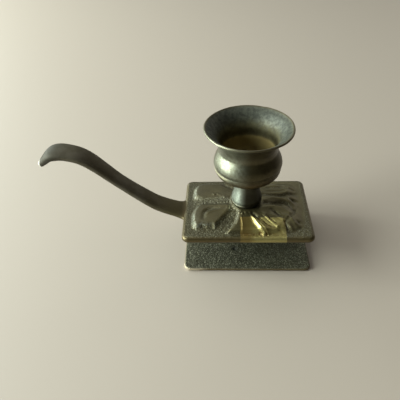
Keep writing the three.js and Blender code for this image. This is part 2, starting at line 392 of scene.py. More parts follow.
# ---------------------------------------------------------------- plates
def rounded_outline(length, depth, radius, per_corner=10):
    """Points round a rectangle with rounded corners, anticlockwise."""
    points = []
    for corner, (sx, sy) in enumerate([(1, 1), (-1, 1), (-1, -1), (1, -1)]):
        turn = np.linspace(0, np.pi / 2, per_corner) + corner * np.pi / 2
        x = sx * (length / 2 - radius) + radius * np.cos(turn)
        y = sy * (depth / 2 - radius) + radius * np.sin(turn)
        points.append(np.c_[x, y])
    return np.vstack(points)


def round_edged_plate(name, length, depth, thick, corner, edge, bottom):
    """A plate whose edge is rounded over its whole height."""
    rings = []
    for start, middle in [(-90, edge), (0, thick - edge)]:
        for turn in np.radians(np.linspace(start, start + 90, 7)):
            inset = edge * (1 - math.cos(turn))
            outline = rounded_outline(length - 2 * inset, depth - 2 * inset, corner - inset)
            height = bottom + middle + edge * math.sin(turn)
            rings.append(np.c_[outline, np.full(len(outline), height)])
    return rings_to_mesh(name, rings)


def countersink(x, y, bottom, head_radius, head_height, radius, top):
    """A cutter that makes room for a countersunk screw put in from below."""
    below, land = bottom - 1, bottom + 0.2
    profile = [(0, below), (head_radius, below), (head_radius, land),
               (radius, land + head_height), (radius, top), (0, top)]
    cutter = turned("cutter", profile, HOLE_SIDES)
    cutter.data.transform(Matrix.Translation((x * MM, y * MM, 0)))
    return cutter


def distance_in(x, y, border, corner):
    """Distance in from a rounded rectangle that lies border inside the plate's outline."""
    corner_x = np.abs(x) - (PLATE_LENGTH / 2 - border - corner)
    corner_y = np.abs(y) - (PLATE_DEPTH / 2 - border - corner)
    outside = np.hypot(np.maximum(corner_x, 0), np.maximum(corner_y, 0))
    return corner - outside - np.minimum(np.maximum(corner_x, corner_y), 0)


def snap_to_plate(points, thick, corner, edge, bottom, amount):
    """Moves points near a round-edged plate exactly onto its surface, by amount (0 to 1) each."""
    x, y, z = points.T
    step = 0.01
    inward = distance_in(x, y, 0, corner)
    out_x = (distance_in(x - step, y, 0, corner) - distance_in(x + step, y, 0, corner)) / (2 * step)
    out_y = (distance_in(x, y - step, 0, corner) - distance_in(x, y + step, 0, corner)) / (2 * step)
    middle = bottom + thick / 2
    snap_reach = 0.6
    across = edge - inward
    up = np.abs(z - middle) - (thick / 2 - edge)
    reach = np.maximum(np.hypot(np.maximum(across, 0), np.maximum(up, 0)), 1e-6)
    grow = edge / reach
    move_out = np.where(across > 0, np.where(up > 0, across * grow, edge) - across, 0)
    move_up = np.where(up > 0, np.where(across > 0, up * grow, edge) - up, 0) * np.sign(z - middle)
    near = np.abs(reach - edge) < snap_reach
    weight = np.where(near, amount, 0)
    return points + np.c_[out_x * move_out, out_y * move_out, move_up] * weight[:, None]


def bottom_plate():
    """The flat sand-cast plate that stands on the table, pebbled on top, with two countersunk holes."""
    thick = BASE_HIGH[2]
    piece = round_edged_plate("base_body", PLATE_LENGTH, PLATE_DEPTH, thick, BASE_CORNER, BASE_EDGE, 0)
    cut(piece, *[countersink(x, CLAMP_Y, 0, *CLAMP_HOLE, thick + 1) for x in CLAMP_X])
    cast(piece, VOXEL, 1)
    points, normals = get_points(piece), get_normals(piece)
    up = smoothstep((normals[:, 2] - 0.3) / 0.5)
    points = snap_to_plate(points, thick, BASE_CORNER, BASE_EDGE, 0, np.ones(len(points)))
    push = up * (0.09 * grain(points, 0.95, 1) - 0.03)
    push -= up * 0.4 * pit(points, 1.1)
    points += normals * push[:, None]
    set_points(piece, points)
    set_mask(piece, "ground", up)
    set_mask(piece, "hollow_and_shade", np.full(len(points), 0.5))
    set_mask(piece, "pit", up * pit(points, 1.3))
    set_mask(piece, "rim", plate_rim(points, BASE_EDGE))
    shade(piece, 60)
    return piece


def pit(points, radius):
    """1 in the middle of the casting pit, falling to 0 round it."""
    return np.exp(-((points[:, 0] - PIT_X) ** 2 + (points[:, 1] - PIT_Y) ** 2) / radius**2)


def plate_rim(points, edge):
    """1 on a plate's rounded edge and 0 on its faces."""
    width = edge * 0.8
    return smoothstep((width - distance_in(points[:, 0], points[:, 1], 0, RIM_CORNER)) / width)


def rear_spine():
    """The cast strip that holds the two plates apart along the back."""
    low, high = SPINE_LOW, SPINE_HIGH
    length, thick, _ = high - low
    corner = 0.8
    outline = rounded_outline(length, thick, corner, 5) + [0, CLAMP_Y]
    rings = [np.c_[outline, np.full(len(outline), z)] for z in (low[2], high[2])]
    piece = rings_to_mesh("spine_body", rings)
    cast(piece, VOXEL, 1)
    points, normals = get_points(piece), get_normals(piece)
    push = 0.06 * grain(points, 1.0, 3) + 0.04 * grain(points, 0.6, 4) - 0.05
    side = smoothstep((0.6 - np.abs(normals[:, 2])) / 0.3)
    points += normals * (push * side)[:, None]
    set_points(piece, points)
    set_mask(piece, "ground", side)
    set_mask(piece, "hollow_and_shade", np.full(len(points), 0.5))
    shade(piece, 60)
    return piece


# ---------------------------------------------------------------- leaf relief
# Outlines of the raised leaves, as (x, y) points on the tray.
UPPER_LEFT_LEAF = [
    (-22.8, 3.6), (-24.8, 5.2), (-25.1, 8.5), (-24.8, 12.5), (-23.5, 15.6), (-20.4, 17), (-13, 17.3),
    (0, 18), (0, 0), (-6, 0.6), (-14, 1.6), (-20, 2.2),
]
LOWER_LEFT_LEAF = [
    (-20.7, 1.4), (-22.9, -0.4), (-24.4, -3.9), (-25, -6.9), (-24.8, -10.9), (-23.9, -14),
    (-22, -15.2), (-20.3, -14.9), (-19.4, -14.2), (-18.2, -14.4), (-17.1, -14.9), (-16.3, -14.2),
    (-15.3, -14.1), (-14.5, -14.6), (-13.8, -15), (-12.6, -13.9), (-11, -12.3), (-9.2, -10), (-7.3, -7.6),
    (-6.4, -5.4), (-6, -1), (-9, -0.6), (-13.9, 0.5), (-17.6, 1.4),
]
RIGHT_LEAVES = [
    (-4.2, -4), (-4.7, -7), (-5.2, -9.7), (-6.2, -12.6), (-8.2, -15), (-9.8, -17), (-9, -18.4),
    (-4, -18.8), (4, -19), (12, -18.8), (16, -18), (17.2, -17), (18.5, -17.4), (20, -17.8),
    (21, -16.4), (22.4, -15.6), (24, -14.6), (25.6, -12), (27, 0), (27, 20), (0, 20), (0, 0),
]

# The pebbled band between the two left leaves.
BAND = [(-25, 3.2), (-20, 2.6), (-14, 2.6), (-8, 2.6)]

# Rounded ridges (height above 0) and grooves (below 0) along bent lines: line, width, height.
# They show only on the leaves.
STROKES = [
    (BAND, 2.0, -0.8),
    ([(-15.1, 7), (-14.4, 5.5)], 0.35, 0.2),
    ([(-14.4, 5.5), (-13.7, 6.9)], 0.35, 0.2),
    ([(-12.9, 6.7), (-12.3, 5.2)], 0.35, 0.2),
    ([(-11.8, 5.7), (-11.2, 4.2)], 0.35, 0.2),
    ([(-10.2, 4.6), (-9.5, 3.1)], 0.35, 0.2),
    ([(-18.9, -9.2), (-18.4, -5.7), (-16.5, -4.0), (-14, -3.7), (-9.5, -4.4)], 1.0, -0.6),
    ([(-6.6, -7.6), (-9, -10.6), (-12.8, -14.9)], 1.3, -0.9),
    ([(0.7, -8.4), (1.9, -11.2), (3.5, -14.3), (5.2, -16.8), (6.8, -18.5)], 0.25, -0.2),
    ([(2.3, -8.2), (3.8, -10), (5.2, -12)], 0.8, -0.8),
    ([(5.4, -10.4), (7.9, -13.6), (11, -15.5), (13.7, -16.6)], 0.8, -0.8),
    ([(8.3, -9.4), (10.4, -11.5), (12.3, -14.2)], 0.7, -0.7),
    ([(10.9, -5.6), (12.8, -6.9), (14.6, -9)], 0.8, -0.7),
    ([(15.8, -10.6), (16.2, -13.6), (17.2, -16.2)], 0.7, -0.7),
    ([(20.3, -15.8), (22.2, -15), (23.4, -13.9)], 0.8, -0.7),
    ([(21.6, -10.4), (22.6, -11.3)], 0.7, -0.6),
    ([(7.7, -1.2), (12.7, -1.2), (16.2, -0.2), (18.8, -0.9), (20.2, -4)], 1.2, -1.0),
    ([(20, 3.4), (22.8, 2.8)], 0.9, -0.8),
    ([(7.4, 4.6), (11.7, 4.9), (16.8, 5.6), (19.9, 7.2), (23.6, 8.4)], 1.1, -0.9),
    ([(7.6, 7), (12, 7.8), (18, 9.2)], 0.6, -0.35),
    ([(7.4, 10.4), (12.5, 11.4), (18, 12), (22.5, 11)], 0.8, -0.5),
    ([(5.6, 12.4), (10, 14), (16, 15.2)], 0.8, -0.6),
    ([(7.7, 2), (12.7, 2.4), (16.8, 2.3), (21, 0.3)], 0.9, 0.35),
    ([(7.7, -3.6), (11.7, -3.5), (15.8, -4.4), (18, -6.4)], 0.9, 0.4),
    ([(14.8, -8.2), (18.2, -9.4), (20, -12)], 0.8, 0.35),
    ([(17.6, -13.4), (18.4, -14.8), (19.8, -16.4)], 0.5, 0.35),
    ([(17, -11), (20.4, -6), (22.6, -1)], 0.6, -0.35),
    ([(-4.4, 9), (-8.4, 12.6), (-11, 16.2)], 0.9, -0.5),
    ([(0, 9), (0, 12.6), (0.6, 16.4)], 0.9, -0.6),
]

# Painted shade along the valley on the right of the lower left leaf.
VALLEY_SHADE = [(-6, -7.8), (-8.6, -11), (-12, -14.8)]

# Chased edges: steep on the right of a line as it leaves the hub, and falling slowly on its left.
# Each is a line, the steep side's width, how far it falls over, its height, and the part it grows over.
LEAF_EDGES = [
    ([(-16.8, -8), (-16.5, -6.7), (-13.5, -5.7), (-10.5, -5.5), (-7, -5.8)], 0.7, 2.6, 0.2, 0.3),
    ([(-2.9, -8.6), (-2.7, -10.6), (-2.4, -13.6), (-2.6, -18)], 0.6, 0.8, 0.25, 0.4),
    ([(0.4, -7.8), (1.9, -11.2), (3.5, -14.3), (5.2, -16.8), (7.3, -19)], 1.5, 1.8, 1.35, 0.45),
    ([(1.8, -8.4), (3.5, -11.7), (5.3, -14.6), (7, -16.8), (9, -18.8)], 0.6, 0.8, 0.6, 0.6),
    ([(4.2, -11.4), (5.2, -13), (7, -14.6), (10, -15.6), (13, -16.8)], 0.7, 1.4, 0.5, 0.3),
    ([(5.2, -7), (7.5, -10), (9.9, -12.8), (13, -15.8)], 1.0, 1.5, 0.75, 0.4),
    ([(8.8, -8.8), (11.2, -9.6), (13.9, -10.8), (15.4, -12)], 0.9, 2.2, 0.5, 0.3),
]

# Small beads cast along the lower edge of the pebbled band and round the front of the hub.
BEADS = [
    (-13.9, 0.6), (-12.4, 0.2), (-11.1, 0), (-9.7, 0), (-8.3, 0.1), (-19.4, 1), (-18.4, 1.4),
    (-3.4, -7.7), (-2.1, -8.4), (-0.6, -7.8), (1.2, -7.6),
]


def distance_to_line(x, y, line):
    """Distance to a bent line, the side it is on (+1 left, -1 right), and how far along it is (0 to 1)."""
    best = np.full(len(x), np.inf)
    side, along = np.ones(len(x)), np.zeros(len(x))
    steps = len(line) - 1
    for index, ((ax, ay), (bx, by)) in enumerate(zip(line[:-1], line[1:])):
        dx, dy = bx - ax, by - ay
        t = np.clip(((x - ax) * dx + (y - ay) * dy) / (dx * dx + dy * dy), 0, 1)
        away = np.hypot(x - ax - t * dx, y - ay - t * dy)
        nearer = away < best
        best = np.where(nearer, away, best)
        turn = np.sign(dx * (y - ay) - dy * (x - ax))
        side = np.where(nearer, turn, side)
        along = np.where(nearer, (index + t) / steps, along)
    return best, side, along


def inside_outline(x, y, outline):
    """True where a point lies in a closed outline."""
    inside = np.zeros(len(x), bool)
    for (ax, ay), (bx, by) in zip(outline, np.roll(outline, -1, axis=0)):
        if ay == by:
            continue
        crosses = ((ay > y) != (by > y)) & (x < ax + (y - ay) * (bx - ax) / (by - ay))
        inside ^= crosses
    return inside


def leaf_mask(x, y, outline, slope):
    """1 on a leaf and 0 outside it: a soft step of width slope at its outline, then a last gentle rise."""
    closed = np.vstack([outline, outline[:1]])
    away = distance_to_line(x, y, closed)[0]
    signed = np.where(inside_outline(x, y, np.array(outline)), away, -away)
    return 0.85 * smoothstep((signed + 0.2) / slope) + 0.15 * smoothstep(signed / (3 * slope))


def stroke_height(x, y, line, width, height):
    """A rounded ridge or groove that fades out towards both of its ends."""
    away, _, along = distance_to_line(x, y, spline(line, 16))
    fade = np.sin(np.pi * np.clip(along, 0.1, 0.9)) ** 0.5
    return height * fade * np.exp(-((away / width) ** 2))


def edge_height(x, y, line, steep, fall, height, grows):
    """A step up across the line, which then falls slowly away on its left."""
    away, side, along = distance_to_line(x, y, spline(line, 16))
    signed = away * side
    fade = smoothstep(along / grows) * smoothstep((1 - along) / 0.12)
    drop = np.exp(-np.maximum(signed - steep / 2, 0) / fall)
    return height * fade * smoothstep(signed / steep + 0.5) * drop


def bead_height(x, y, place, radius, height):
    """A round bead that rises softly out of the ground."""
    return height * np.exp(-((x - place[0]) ** 2 + (y - place[1]) ** 2) / radius**2)


def all_leaves(x, y):
    """1 on any of the raised leaves and 0 on the ground between them."""
    left = np.maximum(leaf_mask(x, y, UPPER_LEFT_LEAF, 3.3), leaf_mask(x, y, LOWER_LEFT_LEAF, 2.8))
    return np.maximum(left, leaf_mask(x, y, RIGHT_LEAVES, 2.2))


def relief_height(x, y):
    """Height of the relief above the tray's border, how far each point is on a leaf, and the carving."""
    rise, spread, stretch = 1.7, 6.0, 1.35
    carving_depth = 1.25
    bead_radius, bead_rise = 0.42, 0.4
    hub_slope = 1.6
    # The tray swells up towards the hub, further along X than along Y.
    radius = np.hypot(x / stretch, y)
    climb = 1 / (1 + (np.maximum(radius - HUB_RADIUS, 0) / spread) ** 2)
    swell = rise + (HUB_HEIGHT - rise) * climb
    # The relief keeps inside the border, and runs a little over it at the middle of the front.
    inward = distance_in(x, y, TRAY_BORDER, TRAY_BORDER_CORNER)
    inward += smoothstep((-y - 12) / 3) * smoothstep((17 - np.abs(x - 3)) / 4)
    ground = smoothstep(inward / 6) * swell * (0.25 + 0.55 * climb)
    # The leaves rise steeply from the border on the left and slowly on the right.
    swell *= smoothstep(inward / (2.2 + 5.0 * smoothstep((x - 8) / 14)))
    leaf = all_leaves(x, y)
    carved = carving_depth * sum(stroke_height(x, y, *stroke) for stroke in STROKES)
    carved *= smoothstep(inward / 3.5)
    # The chased edges fade out just before the tray's outline.
    edges = sum(edge_height(x, y, *edge) for edge in LEAF_EDGES)
    edges *= smoothstep((distance_in(x, y, 0, TRAY_CORNER) - 0.4) / 2.0)
    beads = sum(bead_height(x, y, bead, bead_radius, bead_rise) for bead in BEADS)
    hub = smoothstep((HUB_RADIUS + hub_slope - np.hypot(x, y)) / hub_slope)
    height = ground + (swell - ground) * leaf + (1 - hub) * (carved * leaf + edges + beads)
    height = height + (HUB_HEIGHT - height) * hub
    return np.minimum(height, HUB_HEIGHT), leaf, carved + edges


# ---------------------------------------------------------------- handle
# Stations along the handle: x, z, width, thickness.
HANDLE = [
    (-25.5, 18.5, 20, 2.6), (-28, 18.6, 13.2, 3), (-31, 19.4, 10.3, 3.8), (-37.5, 22, 9.2, 4.4),
    (-43.2, 25.5, 8.8, 4.4), (-54.9, 35.4, 8.1, 4.1), (-66.8, 47, 9.6, 4.6), (-74.6, 50.5, 10.2, 4.7),
    (-80.9, 50.5, 10.4, 4.8), (-85.1, 47.4, 7, 3.6), (-88.2, 44.4, 2.8, 2.5),
]


def flattened(value):
    """A sine or cosine made a little squarer, which turns an ellipse into a flattened oval."""
    return np.sign(value) * np.abs(value) ** 0.9


def handle_strap():
    """The handle as a flattened oval swept along its stations, with a rounded tip."""
    stations = spline(HANDLE, 140)
    path = stations[:, :2]
    tangent = np.gradient(path, axis=0)
    tangent /= np.linalg.norm(tangent, axis=1)[:, None]
    tip_length = 1.5
    to_tip = np.clip(np.linalg.norm(path - path[-1], axis=1) / tip_length, 0.02, 1)
    taper = np.sqrt(to_tip * (2 - to_tip))
    turn = np.linspace(0, 2 * np.pi, 48, endpoint=False)
    rings = []
    for (x, z), (tx, tz), (width, thick), scale in zip(path, tangent, stations[:, 2:], taper):
        across = flattened(np.cos(turn)) * width / 2 * scale
        out = flattened(np.sin(turn)) * thick / 2 * scale
        rings.append(np.c_[x - tz * out, across, z + tx * out])
    return rings_to_mesh("strap", rings)


def neighbour_mean(piece, values, rounds):
    """Blurs one number per vertex along the mesh's edges."""
    edges = np.empty(len(piece.data.edges) * 2, int)
    piece.data.edges.foreach_get("vertices", edges)
    a, b = edges.reshape(-1, 2).T
    count = np.bincount(a, minlength=len(values)) + np.bincount(b, minlength=len(values))
    for _ in range(rounds):
        total = np.bincount(a, values[b], len(values)) + np.bincount(b, values[a], len(values))
        values = 0.5 * values + 0.5 * total / np.maximum(count, 1)
    return values


def top_tray():
    """Tray and handle melted into one casting, with the relief raised out of the tray's top."""
    piece = round_edged_plate(
        "tray_body", PLATE_LENGTH, PLATE_DEPTH, TRAY_THICK, TRAY_CORNER, TRAY_EDGE, TRAY_BOTTOM
    )
    cut(piece, countersink(0, 0, TRAY_BOTTOM, *CENTRE_HOLE, TRAY_BOTTOM + CENTRE_HOLE_DEPTH))
    join(piece, handle_strap())
    cast(piece, TRAY_VOXEL, 2)
    points, normals = get_points(piece), get_normals(piece)
    # The soft root of the handle stays as it is, and the rest of the plate gets its exact surface back.
    root = smoothstep((-23 - points[:, 0]) / 2) * smoothstep((12 - np.abs(points[:, 1])) / 3)
    points = snap_to_plate(points, TRAY_THICK, TRAY_CORNER, TRAY_EDGE, TRAY_BOTTOM, 1 - root)
    x, y, z = points.T
    on_plate = (x > -PLATE_LENGTH / 2) & (z > TRAY_BOTTOM + TRAY_THICK / 2)
    top = np.where(on_plate, smoothstep((normals[:, 2] - 0.6) / 0.3), 0)
    height, leaf, carved = relief_height(x, y)
    rim = np.where(x > -PLATE_LENGTH / 2 - 1, plate_rim(points, 1.6 * TRAY_EDGE), 0)
    # Pebbled ground lies between the leaves, and partly in the deeper grooves.
    ground = np.clip(1.25 - 1.25 * leaf + 0.6 * smoothstep(-carved / 0.7), 0, 1) * top * (1 - rim)
    points[:, 2] += np.where(on_plate, height, 0)
    points[:, 2] += ground * (0.1 * grain(points, 1.1, 5) + 0.09 * grain(points, 0.7, 6))
    set_points(piece, points)
    set_mask(piece, "ground", ground)
    set_mask(piece, "rim", rim)
    set_mask(piece, "handle", smoothstep((-PLATE_LENGTH / 2 + 1 - x) / 3))
    # Painted highlight, partly rubbed wear, on the left slopes of the two left leaves.
    set_mask(piece, "wear_and_highlight", slope_wear_and_highlight(x, y, leaf) * top)
    relief = np.where(on_plate, points[:, 2] - TRAY_TOP, 0)
    set_mask(piece, "hollow_and_shade", hollows_and_shade(piece, x, y, relief) * top + 0.5 * (1 - top))
    shade(piece, 70)
    return piece


def slope_wear_and_highlight(x, y, leaf):
    """1 where the left slopes of the two left leaves carry a painted highlight, partly rubbed wear."""
    left_highlight = bead_height(x, y, (-22.5, 11), 4.5, 0.8) + bead_height(x, y, (-24, -10), 7, 1)
    return smoothstep(1 - np.abs(leaf - 0.55) / 0.45) * left_highlight


def hollows_and_shade(piece, x, y, relief):
    """How deep each point lies below its surroundings: 0.5 on flats, 1 in hollows, 0 on ridges, with painted
    shade along the valley and a darker pebbled band.
    """
    hollow_and_shade = neighbour_mean(piece, relief, 14) - relief
    # Painted shade along the valley beside the lower left leaf, and a darker pebbled band.
    hollow_and_shade += stroke_height(x, y, VALLEY_SHADE, 1.5, 0.3) + stroke_height(x, y, BAND, 2, 0.14)
    return np.clip(0.5 + 1.6 * hollow_and_shade, 0, 1)


# ---------------------------------------------------------------- screws
def screw(name, node, x, y, head_radius, head_height, radius):
    """A countersunk screw with a slot, head down."""
    low, high = size_mm(node)
    profile = [(0, low[2]), (head_radius - 0.1, low[2]), (head_radius, low[2] + 0.1),
               (radius, low[2] + head_height), (radius, high[2]), (0, high[2])]
    piece = turned(name, profile, SCREW_SIDES)
    slot = add_mesh("slot", *box_mesh(3 * head_radius, 0.25 * head_radius, head_height, low[2]))
    cut(piece, slot)
    piece.data.transform(Matrix.Translation((x * MM, y * MM, 0)))
    shade(piece, 30)
    return piece


def box_mesh(length, depth, height, middle):
    """Corners and faces of a box about the Z axis, with its centre at that height."""
    corners = [(sx * length / 2, sy * depth / 2, middle + sz * height / 2)
               for sx in (-1, 1) for sy in (-1, 1) for sz in (-1, 1)]
    faces = [(0, 1, 3, 2), (4, 6, 7, 5), (0, 4, 5, 1), (2, 3, 7, 6), (0, 2, 6, 4), (1, 5, 7, 3)]
    return corners, faces


# ---------------------------------------------------------------- materials
class Nodes:
    """A short way to write a material's node tree."""

    def __init__(self, name):
        self.material = bpy.data.materials.new(name)
        self.material.use_nodes = True
        self.tree = self.material.node_tree
        self.shader = self.tree.nodes["Principled BSDF"]
        self.place = self.add("ShaderNodeTexCoord").outputs["Object"]

    def add(self, kind, **settings):
        """A new node with those settings."""
        node = self.tree.nodes.new(kind)
        for key, value in settings.items():
            setattr(node, key, value)
        return node

    def feed(self, socket, value):
        """Links another socket to this one, or sets it to a number or a colour."""
        if isinstance(value, bpy.types.NodeSocket):
            self.tree.links.new(value, socket)
        elif isinstance(value, tuple) and len(value) == 3:
            socket.default_value = (*value, 1)
        else:
            socket.default_value = value

    def noise(self, size, detail=3.0, rough=0.5):
        """Noise with features of about that size in millimetres."""
        node = self.add("ShaderNodeTexNoise")
        self.feed(node.inputs["Vector"], self.place)
        node.inputs["Scale"].default_value = 1 / (size * MM)
        node.inputs["Detail"].default_value = detail
        node.inputs["Roughness"].default_value = rough
        return node.outputs["Fac"]

    def axis(self, letter):
        """Distance along X, Y or Z in metres."""
        split = self.add("ShaderNodeSeparateXYZ")
        self.feed(split.inputs[0], self.place)
        return split.outputs[letter]

    def mask(self, name):
        """The number that set_mask stored under that name, or 0 where a piece has none."""
        return self.add("ShaderNodeAttribute", attribute_name=name).outputs["Fac"]

    def ramp(self, value, low, high, to_low=0.0, to_high=1.0):
        """A soft change from to_low to to_high as the value goes from low to high."""
        node = self.add("ShaderNodeMapRange", interpolation_type="SMOOTHSTEP")
        self.feed(node.inputs["Value"], value)
        for key, number in zip(("From Min", "From Max", "To Min", "To Max"), (low, high, to_low, to_high)):
            node.inputs[key].default_value = number
        return node.outputs["Result"]

    def math(self, operation, a, b=0.0):
        """The result of a sum, difference or other operation on two numbers."""
        node = self.add("ShaderNodeMath", operation=operation)
        self.feed(node.inputs[0], a)
        self.feed(node.inputs[1], b)
        return node.outputs[0]

    def mix(self, amount, a, b):
        """Mixes two colours."""
        node = self.add("ShaderNodeMix", data_type="RGBA")
        self.feed(node.inputs["Factor"], amount)
        self.feed(node.inputs["A"], a)
        self.feed(node.inputs["B"], b)
        return node.outputs["Result"]

    def blend(self, amount, a, b):
        """Mixes two numbers."""
        node = self.add("ShaderNodeMix", data_type="FLOAT")
        self.feed(node.inputs["Factor"], amount)
        self.feed(node.inputs["A"], a)
        self.feed(node.inputs["B"], b)
        return node.outputs["Result"]

    def product(self, a, b):
        """One number times another."""
        return self.math("MULTIPLY", a, b)

    def bump(self, height, depth):
        """A bump whose full height stands for depth in millimetres."""
        node = self.add("ShaderNodeBump")
        node.inputs["Strength"].default_value = 1.0
        node.inputs["Distance"].default_value = depth * MM
        self.feed(node.inputs["Height"], height)
        return node.outputs["Normal"]

    def finish(self, color, roughness, metallic, normal=None, coat=0.0):
        """Feeds the shader and gives the finished material. The coat is the gloss of handled metal."""
        self.feed(self.shader.inputs["Coat Weight"], coat)
        self.shader.inputs["Coat Roughness"].default_value = 0.3
        self.feed(self.shader.inputs["Base Color"], color)
        self.feed(self.shader.inputs["Roughness"], roughness)
        self.feed(self.shader.inputs["Metallic"], metallic)
        if normal is not None:
            self.feed(self.shader.inputs["Normal"], normal)
        return self.material


def times(color, factor):
    """A colour made lighter or darker."""
    return tuple(channel * factor for channel in color)


def tarnished_brass(name, light, dark, rough_low, rough_high, bump_depth):
    """Turned or filed brass under an even brown-green tarnish, with soft cloudy patches and flecks."""
    n = Nodes(name)
    cloud = n.ramp(n.noise(7, 4, 0.6), 0.35, 0.7)
    fleck = n.ramp(n.noise(0.7, 3, 0.6), 0.35, 0.7)
    color = n.mix(n.product(cloud, 0.8), dark, light)
    color = n.mix(n.product(fleck, 0.25), color, times(dark, 0.6))
    roughness = n.ramp(n.noise(2.5, 4, 0.6), 0.3, 0.7, rough_low, rough_high)
    normal = n.bump(n.noise(0.6, 3, 0.6), bump_depth)
    return n, color, roughness, normal


def patchy(n, mask, low, high):
    """A mask broken up by fine noise, so that it covers from low to high of itself."""
    return n.product(n.mask(mask), n.ramp(n.noise(1.3, 4, 0.65), 0.35, 0.65, low, high))


def cup_material():
    """Brown turned brass: a grey painted highlight on the left, grey-green inside the lip, and olive in the
    bore.
    """
    olive_brown, dark_brown = (0.095, 0.081, 0.037), (0.045, 0.034, 0.012)
    highlight_grey, belly_reflection_brown = (0.2, 0.21, 0.155), (0.115, 0.07, 0.025)
    patina_dark, patina_pale = (0.042, 0.045, 0.032), (0.088, 0.094, 0.067)
    stain_dark, stain_pale, painted_wall_light = (0.08, 0.06, 0.02), (0.18, 0.15, 0.052), (0.34, 0.26, 0.1)
    lip_brass, worn_highlight_brass = (0.22, 0.2, 0.13), (0.5, 0.47, 0.3)
    n, color, roughness, normal = tarnished_brass("turned_brass", olive_brown, dark_brown, 0.4, 0.5, 0.02)
    # Painted highlight: lighter grey on the side facing the lamp on the left.
    color = n.mix(patchy(n, "left_highlight", 0.45, 0.85), color, highlight_grey)
    # The belly's brown is partly tarnish and partly a painted reflection of a brown table.
    color = n.mix(n.product(n.mask("low"), 0.85), color, belly_reflection_brown)
    inner, wear_and_highlight = n.mask("inner"), n.mask("wear_and_highlight")
    patina = n.mix(n.ramp(n.noise(1.6, 5, 0.65), 0.35, 0.65), patina_dark, patina_pale)
    stain = n.mix(n.ramp(n.noise(2.6, 4, 0.6), 0.35, 0.65), stain_dark, stain_pale)
    # Painted light: the middle of the bore's wall is coloured paler than the stain.
    stain = n.mix(n.product(n.mask("painted_bore_light"), 0.8), stain, painted_wall_light)
    color = n.mix(inner, color, n.mix(n.mask("deep"), patina, stain))
    color = n.mix(n.product(n.mask("lip"), 0.4), color, lip_brass)
    # Worn brass in the crescent, made brighter as a painted highlight on the lamp's side.
    color = n.mix(wear_and_highlight, color, worn_highlight_brass)
    roughness = n.blend(inner, roughness, n.ramp(n.noise(1.6, 5, 0.65), 0.35, 0.65, 0.62, 0.5))
    metallic = n.math("SUBTRACT", n.ramp(inner, 0, 1, 0.95, 0.4), n.product(wear_and_highlight, 0.35))
    return n.finish(color, roughness, metallic, normal, n.ramp(inner, 0, 0.5, 0.25, 0))


def collar_material():
    """Darker, greyer brass than the cup's, with a painted highlight on its left side and a painted glint on
    the left of the ring at its foot.
    """
    dark_olive, near_black = (0.05, 0.049, 0.028), (0.025, 0.022, 0.01)
    highlight_grey, foot_highlight = (0.29, 0.32, 0.26), (0.8, 0.78, 0.6)
    n, color, roughness, normal = tarnished_brass("collar_brass", dark_olive, near_black, 0.33, 0.44, 0.02)
    # Painted highlight: lighter grey on the side facing the lamp on the left.
    color = n.mix(patchy(n, "left_highlight", 0.7, 1), color, highlight_grey)
    foot = n.mask("foot")
    # Painted highlight: the ring at the foot is bright on its left.
    color = n.mix(foot, color, foot_highlight)
    return n.finish(color, n.blend(foot, roughness, 0.22), 0.92, normal, 0.25)


def cast_material(name, light, dark, speck, rim):
    """Sand-cast brass: dark rough ground with pale sand specks, dark hollows with painted shade in the
    valley, lighter ridges and rim, and painted shade towards the left.
    """
    left_painted_shade = (0.03, 0.022, 0.008)
    n = Nodes(name)
    ground = n.mask("ground")
    hollow_and_shade = n.mask("hollow_and_shade")
    cloud = n.ramp(n.noise(6, 4, 0.6), 0.35, 0.65)
    sand = n.noise(0.42, 2, 0.6)
    color = n.mix(cloud, dark, light)
    # Painted shade: the colour grows darker towards the left.
    color = n.mix(n.ramp(n.axis("X"), -10 * MM, 12 * MM, 0.4, 0), color, left_painted_shade)
    color = n.mix(n.ramp(hollow_and_shade, 0.1, 0.45, 0.5, 0), color, times(light, 1.6))
    speckle = n.product(n.ramp(sand, 0.5, 0.64), ground)
    color = n.mix(n.product(ground, 0.5), color, times(dark, 0.5))
    color = n.mix(n.product(speckle, 0.6), color, speck)
    # Dark patina in hollows, and painted shade along the valley.
    color = n.mix(n.ramp(hollow_and_shade, 0.6, 1.0, 0, 0.8), color, times(dark, 0.4))
    color = n.mix(n.product(n.mask("rim"), 0.75), color, rim)
    roughness = n.math("ADD", n.ramp(n.noise(2, 4, 0.6), 0.3, 0.7, 0.32, 0.46), n.product(ground, 0.08))
    grain_depth = n.math("ADD", n.product(ground, 0.85), 0.15)
    normal = n.bump(n.product(sand, grain_depth), 0.28)
    return n, color, roughness, normal


def tray_material():
    """Cast brass with a painted highlight, partly wear, on the left leaf slopes, the matte handle, and the
    cleaned patch.
    """
    light, dark = (0.125, 0.108, 0.047), (0.085, 0.072, 0.03)
    speck, rim, slope_highlight_grey = (0.34, 0.34, 0.24), (0.11, 0.08, 0.03), (0.32, 0.335, 0.265)
    n, color, roughness, normal = cast_material("cast_brass", light, dark, speck, rim)
    handle = n.mask("handle")
    handle_color, tip = handle_colors(n)
    color = n.mix(handle, color, handle_color)
    roughness = n.blend(handle, roughness, n.blend(tip, 0.58, 0.3))
    # Painted highlight, partly rubbed wear, on the left leaf slopes.
    wear_and_highlight = n.product(n.mask("wear_and_highlight"), n.ramp(n.noise(1.0, 3, 0.6), 0.42, 0.58, 0.1, 1))
    color = n.mix(wear_and_highlight, color, slope_highlight_grey)
    patch = cleaned_patch(n)
    color = n.mix(patch, color, bare_brass(n))
    roughness = n.blend(patch, roughness, 0.4)
    metallic = n.ramp(handle, 0, 1, 0.75, 0.35)
    n.feed(n.shader.inputs["Specular IOR Level"], n.ramp(handle, 0, 1, 0.5, 0.1))
    return n.finish(color, roughness, metallic, normal, n.ramp(handle, 0, 1, 0.2, 0))


